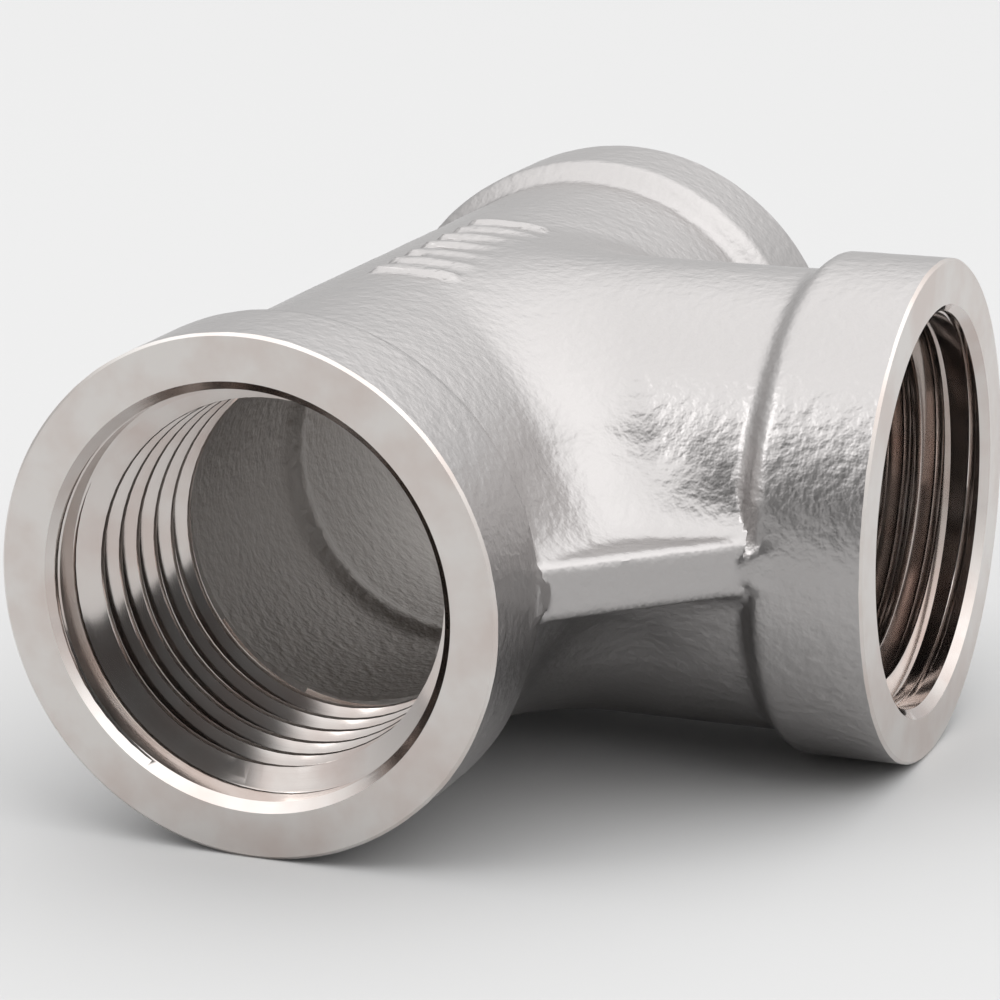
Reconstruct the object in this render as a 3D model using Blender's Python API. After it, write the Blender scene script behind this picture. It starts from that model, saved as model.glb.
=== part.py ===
"""Equal pipe tee, nominal size 1/2 inch (DN15), cast in one piece of stainless steel.

Metres, +Z up. The run lies along Y, the branch points along +X, and the fitting rests on its
three collars at Z = 0. The origin is under the middle of its bounding box.
"""

import math

import bmesh
import bpy
import numpy as np

MM = 0.001

# Outside of the casting, measured from the point where the three port axes meet.
CENTRE_TO_END = 27.0 * MM
COLLAR_RADIUS = 13.25 * MM
NECK_RADIUS = 12.2 * MM
NECK_END = 24.0 * MM
SHOULDER_START = 19.9 * MM
RIM_BEVEL = 0.15 * MM
CROTCH_FILLET = 4.5 * MM

# Web in each crotch between the run and the branch. Its fillet is wide in the crotch and
# narrow at its outer edge.
WEB_TOP = 1.4 * MM
WEB_THICKNESS = 3.0 * MM
WEB_REACH = 24.1 * MM
WEB_EDGE_RADIUS = 0.5 * MM
WEB_ROOT_FILLET = 4.5 * MM
WEB_END_FILLET = 1.4 * MM

# Taper pipe thread, 14 to the inch, right-hand. The radii are at the face of the port.
THREAD_PITCH = 1.814 * MM
THREAD_MAJOR_RADIUS = 10.55 * MM
THREAD_MINOR_RADIUS = 9.39 * MM
THREAD_TAPER = 1 / 32
THREAD_LENGTH = 13.8 * MM
FIRST_CREST = 2.5 * MM
MOUTH_RADIUS = 10.87 * MM

# As-cast passage between the threads. It narrows to a rounded ridge at the middle of the run.
CAVITY_RADIUS = 9.75 * MM
CAVITY_END = 13.2 * MM
RIDGE_RADIUS = 9.25 * MM
RIDGE_HALF_WIDTH = 0.9 * MM

# Raised bars cast on top of the run.
BAR_SIZE = (4.6 * MM, 0.8 * MM)
BAR_HEIGHT = 0.35 * MM
BAR_CENTRE_X = 0.6 * MM
BAR_SPACING = 2.2 * MM
BAR_COUNT = 7

# Offset of the axes' meeting point from the origin.
MIDDLE = np.array([-(CENTRE_TO_END - COLLAR_RADIUS) / 2, 0.0, COLLAR_RADIUS])

VOXEL = 0.5 * MM
CASTING_TRIANGLES = 3600
ROUND_STEPS = 56
THREAD_STEPS = 24
THREAD_ROWS = 4


def smooth(t):
    """Rises from 0 to 1 with no corner at either end."""
    t = np.clip(t, 0.0, 1.0)
    return t * t * (3 - 2 * t)


def join_with_fillet(a, b, radius):
    """Distance to the union of two shapes, with a fillet where they meet."""
    reach = np.hypot(np.maximum(radius - a, 0.0), np.maximum(radius - b, 0.0))
    return np.maximum(radius, np.minimum(a, b)) - reach


def rounded_both(a, b, radius):
    """Distance to where two shapes overlap, with a rounded outer edge."""
    a, b = a + radius, b + radius
    edge = np.hypot(np.maximum(a, 0.0), np.maximum(b, 0.0))
    return edge + np.minimum(np.maximum(a, b), 0.0) - radius


def casting_distance(points):
    """Signed distance from each point to the necks and webs of the casting."""
    x, y, z = points.T
    run_radius, branch_radius = np.hypot(x, z), np.hypot(y, z)
    run = np.maximum(run_radius - NECK_RADIUS, np.abs(y) - NECK_END)
    branch = np.maximum(branch_radius - NECK_RADIUS, np.maximum(x - NECK_END, -x))
    # The fillet is full in the crotch and fades out on top, where the two necks are flush.
    flush = z * z / np.maximum(run_radius * branch_radius, 1e-9)
    fillet = CROTCH_FILLET * np.sqrt(np.clip(1.0 - flush * flush, 0.0, 1.0))
    body = join_with_fillet(run, branch, fillet)
    necks = join_with_fillet(run_radius - NECK_RADIUS, branch_radius - NECK_RADIUS, fillet)
    reach = (x + np.abs(y)) / math.sqrt(2) - WEB_REACH
    plate = np.abs(z - WEB_TOP + WEB_THICKNESS / 2) - WEB_THICKNESS / 2
    root = (WEB_ROOT_FILLET - WEB_END_FILLET) * smooth(-reach / WEB_ROOT_FILLET)
    web = join_with_fillet(necks, plate, WEB_END_FILLET + root)
    # Only the web's outer edge needs a fillet to the neck, because its faces already have one.
    at_edge = smooth((reach - web) / (0.8 * MM))
    web = rounded_both(reach, web, WEB_EDGE_RADIUS)
    web = np.maximum(web, np.maximum(-x, np.maximum(x, np.abs(y)) - NECK_END))
    return join_with_fillet(body, web, WEB_END_FILLET * at_edge)


def move_to_surface(points):
    """Points moved along the distance's slope until they lie on the necks and webs."""
    step = 1e-6
    for _ in range(8):
        distance = casting_distance(points)
        slope = np.empty_like(points)
        for axis in range(3):
            ahead = points.copy()
            ahead[:, axis] += step
            slope[:, axis] = (casting_distance(ahead) - distance) / step
        size = np.maximum((slope * slope).sum(axis=1), 0.25)
        points = points - slope * (distance / size)[:, None]
    return points


def new_object(name, vertices, faces):
    """A mesh object with its faces turned outwards."""
    mesh = bpy.data.meshes.new(name)
    mesh.from_pydata([tuple(v) for v in vertices], [], faces)
    work = bmesh.new()
    work.from_mesh(mesh)
    bmesh.ops.recalc_face_normals(work, faces=work.faces)
    work.to_mesh(mesh)
    work.free()
    obj = bpy.data.objects.new(name, mesh)
    bpy.context.scene.collection.objects.link(obj)
    return obj


def turned(name, profile, steps=ROUND_STEPS):
    """A solid turned about local Z. The profile is (radius, height) from axis to axis. The
    radius is to the middle of each flat, and a flat faces each way along X and Y, so that a
    collar lies on a flat and not on an edge."""
    vertices, faces, rings = [], [], []
    corner = 1 / math.cos(math.pi / steps)
    for radius, height in profile:
        first = len(vertices)
        count = steps if radius > 0 else 1
        for i in range(count):
            angle = 2 * math.pi * (i + 0.5) / steps
            x, y = radius * corner * math.cos(angle), radius * corner * math.sin(angle)
            vertices.append((x, y, height))
        rings.append([first + i % count for i in range(steps + 1)])
    for low, high in zip(rings, rings[1:]):
        for i in range(steps):
            corners = [low[i], low[i + 1], high[i + 1], high[i]]
            faces.append(tuple(dict.fromkeys(corners)))
    return new_object(name, vertices, faces)


def bar(name, place):
    """One raised bar: a short arc that follows the run's round top, sunk into it below."""
    width, depth = BAR_SIZE
    vertices, faces = [], []
    for share in (-0.5, -0.25, 0.0, 0.25, 0.5):
        x = BAR_CENTRE_X + share * width
        for radius in (NECK_RADIUS - 0.5 * MM, NECK_RADIUS + BAR_HEIGHT):
            height = math.sqrt(radius**2 - x * x)
            vertices += [(x, place - depth / 2, height), (x, place + depth / 2, height)]
    for a in range(0, len(vertices) - 4, 4):
        for low, high in ((0, 1), (1, 3), (3, 2), (2, 0)):
            faces.append((a + low, a + high, a + high + 4, a + low + 4))
    last = len(vertices) - 4
    faces += [(0, 1, 3, 2), (last, last + 1, last + 3, last + 2)]
    return new_object(name, vertices, faces)


def apply_modifiers(obj):
    """Replaces an object's mesh with the result of its modifiers."""
    graph = bpy.context.evaluated_depsgraph_get()
    result = bpy.data.meshes.new_from_object(obj.evaluated_get(graph))
    obj.modifiers.clear()
    obj.data = result


def combine(target, other, operation):
    """Joins another solid to the target, or cuts it out, and removes it."""
    modifier = target.modifiers.new(operation.lower(), "BOOLEAN")
    modifier.operation = operation
    modifier.solver = "EXACT"
    modifier.object = other
    target.modifiers.new("triangles", "TRIANGULATE")
    apply_modifiers(target)
    bpy.data.objects.remove(other)


def set_points(obj, points):
    obj.data.vertices.foreach_set("co", points.astype(np.float32).ravel())
    obj.data.update()


def get_points(obj):
    points = np.empty(len(obj.data.vertices) * 3, np.float32)
    obj.data.vertices.foreach_get("co", points)
    return points.reshape(-1, 3).astype(np.float64)


def aim(obj, port):
    """Turns a tool made along local Z so that its +Z points out of the port."""
    turn = {"front": (math.pi / 2, 0, 0), "back": (-math.pi / 2, 0, 0), "branch": (0, math.pi / 2, 0)}
    obj.rotation_euler = turn[port]
    return obj


def collar(name):
    """The thick end of a port with the shoulder that leads up to it."""
    shoulder = [(-0.8, -2.0), (-0.35, -0.35), (0.1, 0.15), (0.55, 0.75), (0.9, 1.3), (1.02, 1.6)]
    rings = [(NECK_RADIUS + out * MM, SHOULDER_START + along * MM) for out, along in shoulder]
    over = CENTRE_TO_END + 2 * MM
    ends = [(COLLAR_RADIUS, SHOULDER_START + 2 * MM), (COLLAR_RADIUS, over), (0, over)]
    return turned(name, [(0, rings[0][1]), *rings, *ends])


def web_plate():
    """A flat plate along the webs, which only gives the casting's mesh its first shape."""
    end, near = NECK_END, WEB_REACH * math.sqrt(2) - NECK_END
    outline = [(0, -end), (near, -end), (end, -near), (end, near), (near, end), (0, end)]
    count = len(outline)
    heights = (WEB_TOP - WEB_THICKNESS, WEB_TOP)
    vertices = [(x, y, z) for z in heights for x, y in outline]
    sides = [(i, (i + 1) % count, (i + 1) % count + count, i + count) for i in range(count)]
    caps = [tuple(range(count)), tuple(range(count, 2 * count))]
    return new_object("web_plate", vertices, caps + sides)


def make_casting():
    """The outside of the tee, a little longer than finished at each port."""
    end = NECK_END
    body = turned("tee_body", [(0, -end), (NECK_RADIUS, -end), (NECK_RADIUS, end), (0, end)])
    aim(body, "back")
    arm = turned("arm", [(0, 0), (NECK_RADIUS - 1 * MM, 0), (NECK_RADIUS - 1 * MM, end), (0, end)])
    combine(body, aim(arm, "branch"), "UNION")
    combine(body, web_plate(), "UNION")
    set_points(body, get_points(body) @ np.array(body.matrix_world.to_3x3()).T)
    body.rotation_euler = (0, 0, 0)
    for _ in range(2):
        remesh = body.modifiers.new("remesh", "REMESH")
        remesh.mode = "VOXEL"
        remesh.voxel_size = VOXEL
        apply_modifiers(body)
        set_points(body, move_to_surface(get_points(body)))
    thin = body.modifiers.new("thin", "DECIMATE")
    thin.ratio = CASTING_TRIANGLES / (2 * len(body.data.polygons))
    apply_modifiers(body)
    for port in ("front", "back", "branch"):
        combine(body, aim(collar(f"collar_{port}"), port), "UNION")
    return body


def facing_tool(name):
    """Cuts a port flat, bevels its rim and countersinks its mouth at 45 degrees."""
    outer, end, out = COLLAR_RADIUS, CENTRE_TO_END, 4 * MM
    inner = THREAD_MINOR_RADIUS - 0.6 * MM
    return turned(
        name,
        [
            (0, end - 6 * MM),
            (inner, end - 6 * MM),
            (inner, end - MOUTH_RADIUS + inner),
            (MOUTH_RADIUS, end),
            (outer - RIM_BEVEL, end),
            (outer + 1 * MM, end - RIM_BEVEL - 1 * MM),
            (outer + 1 * MM, end + out),
            (0, end + out),
        ],
    )


def thread_radius(row, height):
    """Radius of the thread tool: crest or root of the thread, fading out at its inner end."""
    fade = min(max((height - (CENTRE_TO_END - THREAD_LENGTH)) / THREAD_PITCH, 0.0), 1.0)
    cut = (0.0, 0.0, 1.0, 1.0)[row % THREAD_ROWS] * fade
    radius = THREAD_MINOR_RADIUS + (THREAD_MAJOR_RADIUS - THREAD_MINOR_RADIUS) * cut
    return radius - THREAD_TAPER * (CENTRE_TO_END - height)


def thread_tool(name):
    """A closed screw-shaped plug. Each column of points is one place around the axis, and the
    last column meets the first one turn further along, which makes the helix."""
    places = (-1 / 12, 1 / 12, 5 / 12, 7 / 12)
    turns = math.ceil(THREAD_LENGTH / THREAD_PITCH) + 2
    start = CENTRE_TO_END - FIRST_CREST - (turns - 2) * THREAD_PITCH
    rows = turns * THREAD_ROWS
    vertices, index = [], {}
    for i in range(THREAD_STEPS):
        angle = 2 * math.pi * i / THREAD_STEPS
        for j in range(rows + (THREAD_ROWS if i == 0 else 0)):
            turn = j // THREAD_ROWS + places[j % THREAD_ROWS] + i / THREAD_STEPS
            height = start + turn * THREAD_PITCH
            radius = thread_radius(j, height)
            index[i, j] = len(vertices)
            vertices.append((radius * math.cos(angle), radius * math.sin(angle), height))
    for j in range(rows):
        index[THREAD_STEPS, j] = index[0, j + THREAD_ROWS]
    faces = []
    for i in range(THREAD_STEPS):
        for j in range(rows - 1):
            faces.append((index[i, j], index[i + 1, j], index[i + 1, j + 1], index[i, j + 1]))
    bottom = [index[i, 0] for i in range(THREAD_STEPS)]
    bottom += [index[0, j] for j in range(THREAD_ROWS, 0, -1)]
    top = [index[i, rows - 1] for i in range(THREAD_STEPS)]
    top += [index[0, j] for j in range(rows + THREAD_ROWS - 1, rows - 1, -1)]
    for loop, height in ((bottom, start - THREAD_PITCH), (top, start + (turns + 1) * THREAD_PITCH)):
        tip = len(vertices)
        vertices.append((0, 0, height))
        faces += [(a, b, tip) for a, b in zip(loop, loop[1:] + loop[:1])]
    return new_object(name, vertices, faces)


def run_cavity():
    """The passage along the run, with the ridge at its middle."""
    ridge = [(RIDGE_RADIUS + 0.35 * MM, 1.0), (RIDGE_RADIUS + 0.09 * MM, 0.5), (RIDGE_RADIUS, 0.0)]
    half = [
        (0, CAVITY_END + 0.8 * MM),
        (THREAD_MINOR_RADIUS - 0.6 * MM, CAVITY_END + 0.8 * MM),
        (CAVITY_RADIUS, CAVITY_END),
        *[(radius, share * RIDGE_HALF_WIDTH) for radius, share in ridge],
    ]
    return turned("run_cavity", half + [(radius, -height) for radius, height in half[-2::-1]])


def branch_cavity():
    """The passage from the middle of the run into the branch."""
    profile = [
        (0, 0),
        (CAVITY_RADIUS - 0.4 * MM, 0),
        (CAVITY_RADIUS, CAVITY_END),
        (THREAD_MINOR_RADIUS - 0.6 * MM, CAVITY_END + 0.8 * MM),
        (0, CAVITY_END + 0.8 * MM),
    ]
    return turned("branch_cavity", profile)


def steel():
    material = bpy.data.materials.new("cast_stainless")
    material.use_nodes = True
    shader = material.node_tree.nodes["Principled BSDF"]
    shader.inputs["Base Color"].default_value = (0.50, 0.49, 0.48, 1)
    shader.inputs["Metallic"].default_value = 1.0
    shader.inputs["Roughness"].default_value = 0.38
    return material


def clear_scene():
    for obj in list(bpy.data.objects):
        bpy.data.objects.remove(obj)


def build_tee():
    tee = make_casting()
    for number in range(BAR_COUNT):
        place = (number - (BAR_COUNT - 1) / 2) * BAR_SPACING
        combine(tee, bar(f"bar_{number}", place), "UNION")
    for port in ("front", "back", "branch"):
        combine(tee, aim(facing_tool(f"facing_{port}"), port), "DIFFERENCE")
    for port in ("front", "back", "branch"):
        combine(tee, aim(thread_tool(f"thread_{port}"), port), "DIFFERENCE")
    combine(tee, aim(run_cavity(), "back"), "DIFFERENCE")
    combine(tee, aim(branch_cavity(), "branch"), "DIFFERENCE")
    set_points(tee, get_points(tee) + MIDDLE)
    tee.data.shade_smooth()
    tee.data.set_sharp_from_angle(angle=math.radians(28))
    tee.data.materials.clear()
    tee.data.materials.append(steel())
    return tee


clear_scene()
build_tee()
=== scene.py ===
"""The looks of a cast stainless steel pipe tee: a finer mesh, its metal, the floor, light and camera.

Metres, +Z up, in the CAD's frame. The run lies along Y and the branch points along +X.
"""

import math

import bmesh
import bpy
import numpy as np
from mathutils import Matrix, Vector, noise


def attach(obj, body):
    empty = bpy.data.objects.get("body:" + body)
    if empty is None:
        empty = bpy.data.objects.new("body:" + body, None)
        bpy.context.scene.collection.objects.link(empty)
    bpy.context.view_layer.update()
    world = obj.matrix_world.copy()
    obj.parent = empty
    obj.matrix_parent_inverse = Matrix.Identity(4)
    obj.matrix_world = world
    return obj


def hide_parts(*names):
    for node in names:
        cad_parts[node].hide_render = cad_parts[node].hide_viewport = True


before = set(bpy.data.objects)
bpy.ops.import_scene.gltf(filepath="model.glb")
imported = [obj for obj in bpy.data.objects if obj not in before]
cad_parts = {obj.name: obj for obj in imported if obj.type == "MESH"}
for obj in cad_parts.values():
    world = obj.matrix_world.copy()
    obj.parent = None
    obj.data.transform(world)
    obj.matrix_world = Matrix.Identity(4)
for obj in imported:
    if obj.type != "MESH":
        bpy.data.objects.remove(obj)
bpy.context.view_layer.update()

MM = 0.001

# Outside of the casting, measured from the point where the three port axes meet.
CENTRE_TO_END = 27.0 * MM
COLLAR_RADIUS = 13.25 * MM
NECK_RADIUS = 12.2 * MM
SHOULDER_START = 19.75 * MM
SHOULDER_LENGTH = 2.0 * MM
RIM_BEVEL = 0.15 * MM
CROTCH_FILLET = 4.5 * MM
FACING_ALLOWANCE = 1 * MM

WEB_TOP = 1.4 * MM
WEB_THICKNESS = 3.0 * MM
WEB_REACH = 24.1 * MM
WEB_STOP = CENTRE_TO_END - 3 * MM
WEB_EDGE_RADIUS = 0.5 * MM
WEB_ROOT_FILLET = 4.5 * MM
WEB_END_FILLET = 1.4 * MM
WEB_END_BLEND = 1.5 * MM

THREAD_PITCH = 1.814 * MM
THREAD_MAJOR_RADIUS = 10.55 * MM
THREAD_MINOR_RADIUS = 9.39 * MM
THREAD_LENGTH = 13.8 * MM
FIRST_CREST = 2.3 * MM
THREAD_TAPER = 1 / 32
MOUTH_RADIUS = 10.87 * MM
RELIEF_RADIUS = 10.4 * MM
RELIEF_DEPTH = 2.1 * MM

CAVITY_RADIUS = 9.75 * MM
CAVITY_END = 13.2 * MM
RIDGE_HEIGHT = 0.5 * MM
RIDGE_WIDTH = 0.9 * MM
CORE_FILLET = 0.8 * MM
CORE_END_RADIUS = 0.6 * MM

BAR_SIZE = (4.6 * MM, 0.8 * MM)
BAR_HEIGHT = 0.35 * MM
BAR_CENTRE_X = 0.6 * MM
BAR_SPACING = 2.2 * MM
BAR_COUNT = 7
BAR_CORNER_RADIUS = 0.3 * MM
BAR_TOP_RADIUS = 0.2 * MM
BAR_FILLET = 0.3 * MM

# How far a cast surface wanders, and how often per millimetre.
OUTSIDE_UNEVENNESS = 0.05 * MM
INSIDE_UNEVENNESS = 0.08 * MM
BROAD_WAVES = 0.22
FINE_WAVES = 1.1
FINE_SHIFT = Vector((9.1, 3.7, 5.3))

# Where the three port axes meet, in the CAD's frame.
MIDDLE = np.array([-(CENTRE_TO_END - COLLAR_RADIUS) / 2, 0.0, COLLAR_RADIUS])

# Brightness of the studio by the height that the light comes from, 0 level and 1 overhead,
# and how much brighter it is on the right (+X) and at the back (+Y), where it is a touch dimmer.
SKY = [(0.0, 0.34), (0.20, 0.42), (0.36, 0.52), (0.62, 0.86), (0.80, 1.0), (1.0, 0.94)]
SKY_STRENGTH = 1.95
SKY_RIGHT = 0.22
SKY_BACK = -0.02
# The dark side of the room, behind the camera.
DARK_DIRECTION = (0.16, -0.93, 0.33)
DARK_ANGLE = math.radians(27)
DARK_EDGE = math.radians(9)
DARK_SHARE = 0.09
# One weak light at the front left.
LAMP_PLACE = (-0.30, -0.30, 0.34)
LAMP_TARGET = (0, 0, 0.013)
LAMP_SIZE = (0.14, 0.22)
LAMP_POWER = 0.28

CAMERA_LENS = 139.63
CAMERA_PLACE = (0.07248, -0.18901, 0.06721)
CAMERA_TURN = (74.757, 0.521, 21.986)

# Fineness of the mesh: the castings' voxels, and the steps around a port and along one pitch.
VOXEL = 0.31 * MM
INSIDE_VOXEL = VOXEL * 1.8
ROUND_STEPS = 160
THREAD_STEPS = 70
THREAD_ROWS = 10


def smooth(t):
    """A share from 0 to 1 that starts and ends gently."""
    t = np.clip(t, 0.0, 1.0)
    return t * t * (3 - 2 * t)


def join_with_fillet(a, b, radius):
    """Distance to the union of two shapes, with a fillet where they meet."""
    reach = np.hypot(np.maximum(radius - a, 0.0), np.maximum(radius - b, 0.0))
    return np.maximum(radius, np.minimum(a, b)) - reach


def rounded_both(a, b, radius):
    """Distance to where two shapes overlap, with a rounded outer edge."""
    a, b = a + radius, b + radius
    edge = np.hypot(np.maximum(a, 0.0), np.maximum(b, 0.0))
    return edge + np.minimum(np.maximum(a, b), 0.0) - radius


def outside_radius(axial):
    """Radius of a neck and its collar at a distance from the middle of the tee."""
    t = np.clip((axial - SHOULDER_START) / SHOULDER_LENGTH, 0.0, 1.0)
    rise = t**3 * (10 - 15 * t + 6 * t * t)
    return NECK_RADIUS + (COLLAR_RADIUS - NECK_RADIUS) * rise


def casting_distance(points):
    """Signed distance from each point to the outside of the casting."""
    x, y, z = points.T
    end = CENTRE_TO_END + FACING_ALLOWANCE
    run_radius, branch_radius = np.hypot(x, z), np.hypot(y, z)
    run = np.maximum(run_radius - outside_radius(np.abs(y)), np.abs(y) - end)
    branch = np.maximum(branch_radius - outside_radius(x), np.maximum(x - end, -x))
    flush = z * z / np.maximum(run_radius * branch_radius, 1e-9)
    fillet = CROTCH_FILLET * np.sqrt(np.clip(1.0 - flush * flush, 0.0, 1.0))
    body = join_with_fillet(run, branch, fillet)
    reach = (x + np.abs(y)) / math.sqrt(2) - WEB_REACH
    plate = np.abs(z - WEB_TOP + WEB_THICKNESS / 2) - WEB_THICKNESS / 2
    necks = join_with_fillet(run_radius - NECK_RADIUS, branch_radius - NECK_RADIUS, fillet)
    inward = smooth(-reach / WEB_ROOT_FILLET)
    web = join_with_fillet(necks, plate, WEB_END_FILLET + (WEB_ROOT_FILLET - WEB_END_FILLET) * inward)
    at_end = smooth((reach - web) / WEB_END_BLEND)
    web = rounded_both(reach, web, WEB_EDGE_RADIUS)
    web = np.maximum(web, np.maximum(-x, np.maximum(x, np.abs(y)) - WEB_STOP))
    body = join_with_fillet(body, web, WEB_END_FILLET * at_end)
    nearest = np.round(y / BAR_SPACING + (BAR_COUNT - 1) / 2).clip(0, BAR_COUNT - 1)
    along = np.abs(y - (nearest - (BAR_COUNT - 1) / 2) * BAR_SPACING) - BAR_SIZE[1] / 2
    across = np.abs(x - BAR_CENTRE_X) - BAR_SIZE[0] / 2
    plan = rounded_both(along, across, BAR_CORNER_RADIUS)
    bars = rounded_both(plan, run_radius - NECK_RADIUS - BAR_HEIGHT, BAR_TOP_RADIUS)
    bars = np.maximum(bars, NECK_RADIUS - 2 * MM - z)
    return join_with_fillet(body, bars, BAR_FILLET)


def core_distance(points):
    """Signed distance from each point to the cast passage inside the tee."""
    x, y, z = points.T
    ridge = RIDGE_HEIGHT * np.exp(-np.square(y / RIDGE_WIDTH) * 1.5)
    run = np.hypot(x, z) - (CAVITY_RADIUS - ridge)
    run = rounded_both(run, np.abs(y) - CAVITY_END - CORE_END_RADIUS, CORE_END_RADIUS)
    branch = np.hypot(y, z) - CAVITY_RADIUS
    end = np.maximum(x - CAVITY_END - CORE_END_RADIUS, -x)
    branch = rounded_both(branch, end, CORE_END_RADIUS)
    return join_with_fillet(run, branch, CORE_FILLET)


def move_to_surface(points, distance_to):
    """Points moved along the distance's slope until they lie on its surface, and the normals."""
    step = 1e-6
    slope = np.empty_like(points)
    for _ in range(8):
        distance = distance_to(points)
        for axis in range(3):
            ahead = points.copy()
            ahead[:, axis] += step
            slope[:, axis] = (distance_to(ahead) - distance) / step
        size = np.maximum((slope * slope).sum(axis=1), 0.25)
        points = points - slope * (distance / size)[:, None]
    return points, slope / np.linalg.norm(slope, axis=1)[:, None]


def new_object(name, vertices, faces):
    """A mesh object whose faces all point outwards."""
    mesh = bpy.data.meshes.new(name)
    mesh.from_pydata([tuple(v) for v in vertices], [], faces)
    work = bmesh.new()
    work.from_mesh(mesh)
    bmesh.ops.recalc_face_normals(work, faces=work.faces)
    work.to_mesh(mesh)
    work.free()
    obj = bpy.data.objects.new(name, mesh)
    bpy.context.scene.collection.objects.link(obj)
    return obj


def turned(name, profile, steps=ROUND_STEPS):
    """A solid turned about local Z. The profile is (radius, height) from axis to axis."""
    vertices, faces, rings = [], [], []
    for radius, height in profile:
        first = len(vertices)
        count = steps if radius > 0 else 1
        for i in range(count):
            angle = 2 * math.pi * i / steps
            vertices.append((radius * math.cos(angle), radius * math.sin(angle), height))
        rings.append([first + i % count for i in range(steps + 1)])
    for low, high in zip(rings, rings[1:]):
        for i in range(steps):
            corners = [low[i], low[i + 1], high[i + 1], high[i]]
            faces.append(tuple(dict.fromkeys(corners)))
    return new_object(name, vertices, faces)


def apply_modifiers(obj):
    """Gives the object the mesh that its modifiers make, and removes them."""
    graph = bpy.context.evaluated_depsgraph_get()
    result = bpy.data.meshes.new_from_object(obj.evaluated_get(graph))
    obj.modifiers.clear()
    obj.data = result


def combine(target, other, operation, solver="MANIFOLD"):
    """Joins the other object to the target or cuts it away, and removes it."""
    modifier = target.modifiers.new(operation.lower(), "BOOLEAN")
    modifier.operation = operation
    modifier.solver = solver
    modifier.object = other
    apply_modifiers(target)
    bpy.data.objects.remove(other)


def set_points(obj, points):
    obj.data.vertices.foreach_set("co", points.astype(np.float32).ravel())
    obj.data.update()


def get_points(obj):
    points = np.empty(len(obj.data.vertices) * 3, np.float32)
    obj.data.vertices.foreach_get("co", points)
    return points.reshape(-1, 3).astype(np.float64)


def aim(obj, port):
    """Turns a tool made along local Z so that its +Z points out of the port."""
    turn = {"front": (math.pi / 2, 0, 0), "back": (-math.pi / 2, 0, 0), "branch": (0, math.pi / 2, 0)}
    obj.rotation_euler = turn[port]
    return obj


def web_plate():
    """A plate where both webs will be, with its two outer corners cut off."""
    end = WEB_STOP
    near = WEB_REACH * math.sqrt(2) - end
    outline = [(0, -end), (near, -end), (end, -near), (end, near), (near, end), (0, end)]
    count = len(outline)
    heights = (WEB_TOP - WEB_THICKNESS, WEB_TOP)
    vertices = [(x, y, z) for z in heights for x, y in outline]
    sides = [(i, (i + 1) % count, (i + 1) % count + count, i + count) for i in range(count)]
    caps = [tuple(range(count)), tuple(range(count, 2 * count))]
    return new_object("web_plate", vertices, caps + sides)


def bar_block(place):
    """A block where one raised bar will be."""
    length, width = BAR_SIZE
    corners = [
        (BAR_CENTRE_X + i * length / 2, place + j * width / 2, NECK_RADIUS + k)
        for k in (-1 * MM, BAR_HEIGHT)
        for i, j in ((-1, -1), (1, -1), (1, 1), (-1, 1))
    ]
    sides = [(i, (i + 1) % 4, (i + 1) % 4 + 4, i + 4) for i in range(4)]
    return new_object("bar_block", corners, [(0, 1, 2, 3), (4, 5, 6, 7)] + sides)


def tee_blank(name, radius, end, inner):
    """Two crossing cylinders, the first shape for a smooth surface."""
    body = turned(name, [(0, -end), (radius, -end), (radius, end), (0, end)], 64)
    aim(body, "back")
    arm = turned("arm", [(0, 0), (inner, 0), (inner, end), (0, end)], 64)
    combine(body, aim(arm, "branch"), "UNION", "EXACT")
    set_points(body, get_points(body) @ np.array(body.matrix_world.to_3x3()).T)
    body.rotation_euler = (0, 0, 0)
    return body


def wrap(obj, distance_to, voxel, uneven):
    """Gives the object an even mesh on the distance's surface, then the casting's unevenness."""
    for _ in range(2):
        remesh = obj.modifiers.new("remesh", "REMESH")
        remesh.mode = "VOXEL"
        remesh.voxel_size = voxel
        apply_modifiers(obj)
        points, normals = move_to_surface(get_points(obj), distance_to)
        set_points(obj, points)
    lift = np.empty(len(points))
    for i, (x, y, z) in enumerate(points / MM):
        broad = noise.noise(Vector((x, y, z)) * BROAD_WAVES)
        fine = noise.noise(Vector((x, y, z)) * FINE_WAVES + FINE_SHIFT)
        lift[i] = uneven * (0.6 * broad + 0.4 * fine)
    set_points(obj, points + normals * lift[:, None])


def facing_tool(name):
    """Cuts a port flat, bevels its rim, chamfers its mouth and clears the thread's start."""
    outer, end, deep, out = COLLAR_RADIUS, CENTRE_TO_END, 6 * MM, 4 * MM
    inner = THREAD_MINOR_RADIUS - 0.6 * MM
    return turned(
        name,
        [
            (0, end - deep),
            (inner, end - deep),
            (inner, end - RELIEF_DEPTH - (RELIEF_RADIUS - inner) / 2),
            (RELIEF_RADIUS, end - RELIEF_DEPTH),
            (RELIEF_RADIUS, end - MOUTH_RADIUS + RELIEF_RADIUS),
            (MOUTH_RADIUS, end),
            (outer - RIM_BEVEL, end),
            (outer + 1 * MM, end - RIM_BEVEL - 1 * MM),
            (outer + 1 * MM, end + out),
            (0, end + out),
        ],
    )


def thread_form(share):
    """How far out the thread's wall is at a share of one pitch, from 0 at a crest to 1 at a
    root, with flat flanks and slightly rounded crests and roots."""
    slope = abs(((share + 0.5) % 1.0) - 0.5) * 2
    rise = min(max((slope - 0.17) / 0.66, 0.0), 1.0)
    return 0.5 * rise + 0.5 * float(smooth(rise))


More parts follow.
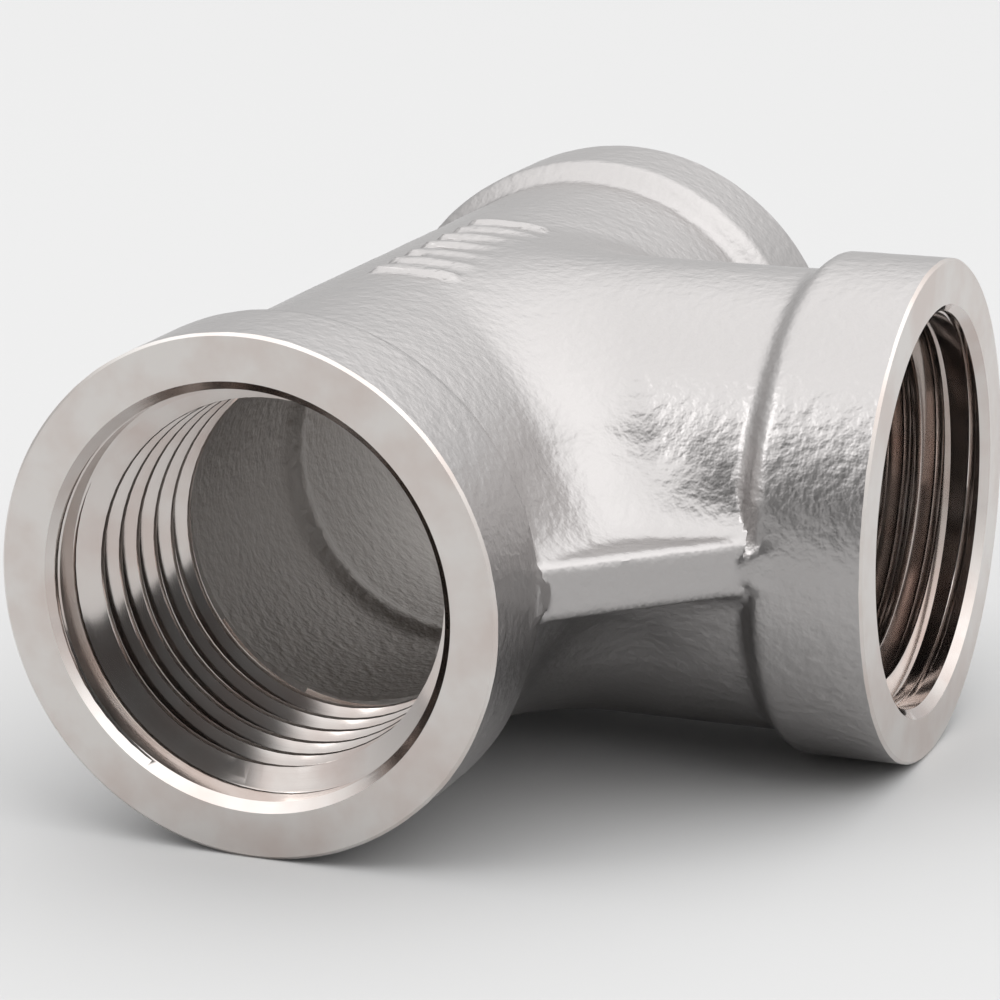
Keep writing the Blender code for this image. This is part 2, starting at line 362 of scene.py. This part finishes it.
def thread_tool(name):
    """A closed screw-shaped plug. Each column of points is one place around the axis, and the
    last column meets the first one turn further along, which makes the helix."""
    turns = math.ceil(THREAD_LENGTH / THREAD_PITCH) + 3
    start = CENTRE_TO_END - FIRST_CREST - (turns - 2) * THREAD_PITCH
    rows = turns * THREAD_ROWS
    depth = THREAD_MAJOR_RADIUS - THREAD_MINOR_RADIUS
    vertices, index = [], {}
    for i in range(THREAD_STEPS):
        angle = 2 * math.pi * i / THREAD_STEPS
        for j in range(rows + (THREAD_ROWS if i == 0 else 0)):
            height = start + (j / THREAD_ROWS + i / THREAD_STEPS) * THREAD_PITCH
            fade = min(max((height - (CENTRE_TO_END - THREAD_LENGTH)) / THREAD_PITCH, 0.0), 1.0)
            radius = THREAD_MINOR_RADIUS + depth * fade * thread_form(j / THREAD_ROWS)
            radius -= THREAD_TAPER * (CENTRE_TO_END - height)
            index[i, j] = len(vertices)
            vertices.append((radius * math.cos(angle), radius * math.sin(angle), height))
    for j in range(rows):
        index[THREAD_STEPS, j] = index[0, j + THREAD_ROWS]
    faces = []
    for i in range(THREAD_STEPS):
        for j in range(rows - 1):
            faces.append((index[i, j], index[i + 1, j], index[i + 1, j + 1], index[i, j + 1]))
    bottom = [index[i, 0] for i in range(THREAD_STEPS)]
    bottom += [index[0, j] for j in range(THREAD_ROWS, 0, -1)]
    top = [index[i, rows - 1] for i in range(THREAD_STEPS)]
    top += [index[0, j] for j in range(rows + THREAD_ROWS - 1, rows - 1, -1)]
    for loop, height in ((bottom, start - THREAD_PITCH), (top, start + (turns + 1) * THREAD_PITCH)):
        tip = len(vertices)
        vertices.append((0, 0, height))
        faces += [(a, b, tip) for a, b in zip(loop, loop[1:] + loop[:1])]
    return new_object(name, vertices, faces)


def make_tee():
    """The casting with its webs and bars, less its passage, threads and faced ports."""
    long_end = CENTRE_TO_END + FACING_ALLOWANCE
    tee = tee_blank("tee_casting", COLLAR_RADIUS - 0.5 * MM, long_end, NECK_RADIUS)
    combine(tee, web_plate(), "UNION", "EXACT")
    for i in range(BAR_COUNT):
        combine(tee, bar_block((i - (BAR_COUNT - 1) / 2) * BAR_SPACING), "UNION", "EXACT")
    wrap(tee, casting_distance, VOXEL, OUTSIDE_UNEVENNESS)
    void = tee_blank("void", CAVITY_RADIUS, CAVITY_END + 0.5 * MM, CAVITY_RADIUS - 0.5 * MM)
    wrap(void, core_distance, INSIDE_VOXEL, INSIDE_UNEVENNESS)
    for port in ("front", "back", "branch"):
        combine(void, aim(thread_tool(f"thread_{port}"), port), "UNION")
        combine(void, aim(facing_tool(f"facing_{port}"), port), "UNION")
    combine(tee, void, "DIFFERENCE")
    return tee


def sort_faces(tee):
    """Marks each face by how it was made: 0 cast outside, 1 cast inside, 2 faced ring, 3 thread."""
    mesh = tee.data
    centres = np.empty(len(mesh.polygons) * 3, np.float32)
    mesh.polygons.foreach_get("center", centres)
    x, y, z = centres.reshape(-1, 3).T.astype(float)
    kinds = np.zeros(len(x), np.int32)
    inside = core_distance(np.stack([x, y, z], 1)) < 0.15 * MM
    kinds[inside] = 1
    past_thread = THREAD_LENGTH + 1.5 * THREAD_PITCH
    on_bevel = COLLAR_RADIUS + CENTRE_TO_END - RIM_BEVEL - 0.02 * MM
    for axial, radial in ((-y, np.hypot(x, z)), (y, np.hypot(x, z)), (x, np.hypot(y, z))):
        depth = CENTRE_TO_END - axial
        flat = (depth < 0.01 * MM) & (radial > MOUTH_RADIUS - 0.05 * MM)
        bevel = (depth < RIM_BEVEL) & (radial + axial > on_bevel)
        bore = (radial < MOUTH_RADIUS) & (depth > -0.1 * MM) & (depth < past_thread)
        kinds[bore & ~inside] = 3
        kinds[flat | bevel] = 2
    mesh.polygons.foreach_set("material_index", kinds)


def principled(name, colour, roughness):
    """A metal of one colour, and what is needed to add nodes to it."""
    material = bpy.data.materials.new(name)
    material.use_nodes = True
    nodes = material.node_tree.nodes
    shader = nodes["Principled BSDF"]
    shader.inputs["Base Color"].default_value = (*colour, 1)
    shader.inputs["Metallic"].default_value = 1.0
    shader.inputs["Roughness"].default_value = roughness
    return material, nodes, material.node_tree.links, shader


def noise_node(nodes, links, coords, scale, detail):
    node = nodes.new("ShaderNodeTexNoise")
    node.inputs["Scale"].default_value = scale
    node.inputs["Detail"].default_value = detail
    links.new(coords, node.inputs["Vector"])
    return node.outputs["Fac"]


def math_node(nodes, links, operation, *values):
    """A Math node. Each value is a number or the output that gives it."""
    node = nodes.new("ShaderNodeMath")
    node.operation = operation
    for socket, value in zip(node.inputs, values):
        if isinstance(value, float):
            socket.default_value = value
        else:
            links.new(value, socket)
    return node.outputs[0]


def add_bump(nodes, links, height, strength, distance, shader):
    bump = nodes.new("ShaderNodeBump")
    bump.inputs["Strength"].default_value = strength
    bump.inputs["Distance"].default_value = distance
    links.new(height, bump.inputs["Height"])
    links.new(bump.outputs["Normal"], shader.inputs["Normal"])


def cast_metal(name, colour, roughness, grain):
    """Metal with the fine grain of the mould that it was cast in."""
    material, nodes, links, shader = principled(name, colour, roughness)
    coords = nodes.new("ShaderNodeTexCoord").outputs["Object"]
    peel = noise_node(nodes, links, coords, 1900.0, 2.0)
    add_bump(nodes, links, peel, 0.8, grain, shader)
    return material


def machined_metal(name, colour, roughness, grain):
    """Metal with faint tints and the fine lines left by turning, which change with the radius
    from the port's axis and with the distance along it. A point belongs to the branch where its
    X is larger than its distance from the middle along the run, and to the run elsewhere."""
    material, nodes, links, shader = principled(name, colour, roughness)
    coords = nodes.new("ShaderNodeTexCoord").outputs["Object"]
    shift = nodes.new("ShaderNodeVectorMath")
    shift.operation = "SUBTRACT"
    links.new(coords, shift.inputs[0])
    shift.inputs[1].default_value = [float(v) for v in MIDDLE]
    place = nodes.new("ShaderNodeSeparateXYZ")
    links.new(shift.outputs[0], place.inputs[0])
    x, y, z = place.outputs
    along_run = math_node(nodes, links, "ABSOLUTE", y)
    in_branch = math_node(nodes, links, "GREATER_THAN", x, along_run)
    along = math_node(nodes, links, "MAXIMUM", x, along_run)
    side = nodes.new("ShaderNodeMix")
    links.new(in_branch, side.inputs["Factor"])
    links.new(x, side.inputs[2])
    links.new(y, side.inputs[3])
    side_square = math_node(nodes, links, "MULTIPLY", side.outputs[0], side.outputs[0])
    height_square = math_node(nodes, links, "MULTIPLY", z, z)
    sum_of_squares = math_node(nodes, links, "ADD", side_square, height_square)
    radius = math_node(nodes, links, "SQRT", sum_of_squares)
    lines = nodes.new("ShaderNodeCombineXYZ")
    links.new(radius, lines.inputs["X"])
    links.new(along, lines.inputs["Y"])
    turning = noise_node(nodes, links, lines.outputs[0], 2500.0, 3.0)
    add_bump(nodes, links, turning, 0.6, grain, shader)
    tint = nodes.new("ShaderNodeValToRGB")
    low, high = tint.color_ramp.elements
    low.position, low.color = 0.35, (*(c * s for c, s in zip(colour, (0.90, 0.84, 0.82))), 1)
    high.position, high.color = 0.6, (*colour, 1)
    links.new(noise_node(nodes, links, coords, 260.0, 4.0), tint.inputs["Fac"])
    links.new(tint.outputs["Color"], shader.inputs["Base Color"])
    return material


def dress(tee):
    """Gives the tee its four metals, in the order that sort_faces numbers them."""
    tee.data.materials.clear()
    for metal in (
        cast_metal("cast_outside", (0.43, 0.415, 0.41), 0.33, 0.075 * MM),
        cast_metal("cast_inside", (0.50, 0.475, 0.455), 0.6, 0.15 * MM),
        machined_metal("faced_ring", (0.68, 0.65, 0.625), 0.30, 0.006 * MM),
        machined_metal("cut_thread", (0.62, 0.58, 0.555), 0.12, 0.004 * MM),
    ):
        tee.data.materials.append(metal)
    sort_faces(tee)
    tee.data.shade_smooth()
    tee.data.set_sharp_from_angle(angle=math.radians(32))


def area_light(name, place, target, size, power):
    light = bpy.data.lights.new(name, "AREA")
    light.shape = "RECTANGLE"
    light.size, light.size_y = size
    light.energy = power
    lamp = bpy.data.objects.new(name, light)
    lamp.location = place
    lamp.rotation_euler = (Vector(target) - Vector(place)).to_track_quat("-Z", "Y").to_euler()
    bpy.context.scene.collection.objects.link(lamp)


def make_floor():
    bpy.ops.mesh.primitive_plane_add(size=3.0, location=(0, 0, 0))
    floor = bpy.context.object
    floor.name = "floor"
    material = bpy.data.materials.new("pale_floor")
    material.use_nodes = True
    shader = material.node_tree.nodes["Principled BSDF"]
    shader.inputs["Base Color"].default_value = (0.56, 0.56, 0.56, 1)
    shader.inputs["Roughness"].default_value = 0.9
    shader.inputs["Specular IOR Level"].default_value = 0.1
    floor.data.materials.append(material)


def ramp(nodes, links, value, stops):
    """A colour ramp of greys. Each stop is (position, grey)."""
    node = nodes.new("ShaderNodeValToRGB")
    elements = node.color_ramp.elements
    for element, (position, grey) in zip(elements, (stops[0], stops[-1])):
        element.position, element.color = position, (grey, grey, grey, 1)
    for position, grey in stops[1:-1]:
        elements.new(position).color = (grey, grey, grey, 1)
    links.new(value, node.inputs["Fac"])
    return node.outputs["Color"]


def make_light():
    """A soft studio: a bright ceiling that fades towards the walls, a little brighter on the
    right, with a soft dark zone on the near side and one weak light at the front left."""
    world = bpy.data.worlds.new("studio")
    bpy.context.scene.world = world
    world.use_nodes = True
    nodes, links = world.node_tree.nodes, world.node_tree.links
    direction = nodes.new("ShaderNodeSeparateXYZ")
    coords = nodes.new("ShaderNodeTexCoord").outputs["Generated"]
    links.new(coords, direction.inputs[0])
    height = ramp(nodes, links, direction.outputs["Z"], SKY)
    side = math_node(nodes, links, "MULTIPLY_ADD", direction.outputs["X"], SKY_RIGHT, 1.0)
    around = math_node(nodes, links, "MULTIPLY_ADD", direction.outputs["Y"], SKY_BACK, side)
    facing = nodes.new("ShaderNodeVectorMath")
    facing.operation = "DOT_PRODUCT"
    links.new(coords, facing.inputs[0])
    facing.inputs[1].default_value = DARK_DIRECTION
    dark = nodes.new("ShaderNodeMapRange")
    dark.interpolation_type = "SMOOTHSTEP"
    links.new(facing.outputs["Value"], dark.inputs["Value"])
    dark.inputs["From Min"].default_value = math.cos(DARK_ANGLE + DARK_EDGE)
    dark.inputs["From Max"].default_value = math.cos(DARK_ANGLE)
    dark.inputs["To Min"].default_value = SKY_STRENGTH
    dark.inputs["To Max"].default_value = SKY_STRENGTH * DARK_SHARE
    strength = math_node(nodes, links, "MULTIPLY", around, dark.outputs["Result"])
    background = nodes["Background"]
    links.new(height, background.inputs["Color"])
    links.new(strength, background.inputs["Strength"])
    area_light("front_left", LAMP_PLACE, LAMP_TARGET, LAMP_SIZE, LAMP_POWER)


def make_camera():
    data = bpy.data.cameras.new("camera")
    data.lens = CAMERA_LENS
    data.clip_start = 0.01
    camera = bpy.data.objects.new("camera", data)
    camera.location = CAMERA_PLACE
    camera.rotation_euler = [math.radians(angle) for angle in CAMERA_TURN]
    bpy.context.scene.collection.objects.link(camera)
    bpy.context.scene.camera = camera


bpy.context.scene.view_settings.view_transform = "Standard"
tee = make_tee()
dress(tee)
set_points(tee, get_points(tee) + MIDDLE)
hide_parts("tee_body")
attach(tee, "root")
make_floor()
make_light()
make_camera()
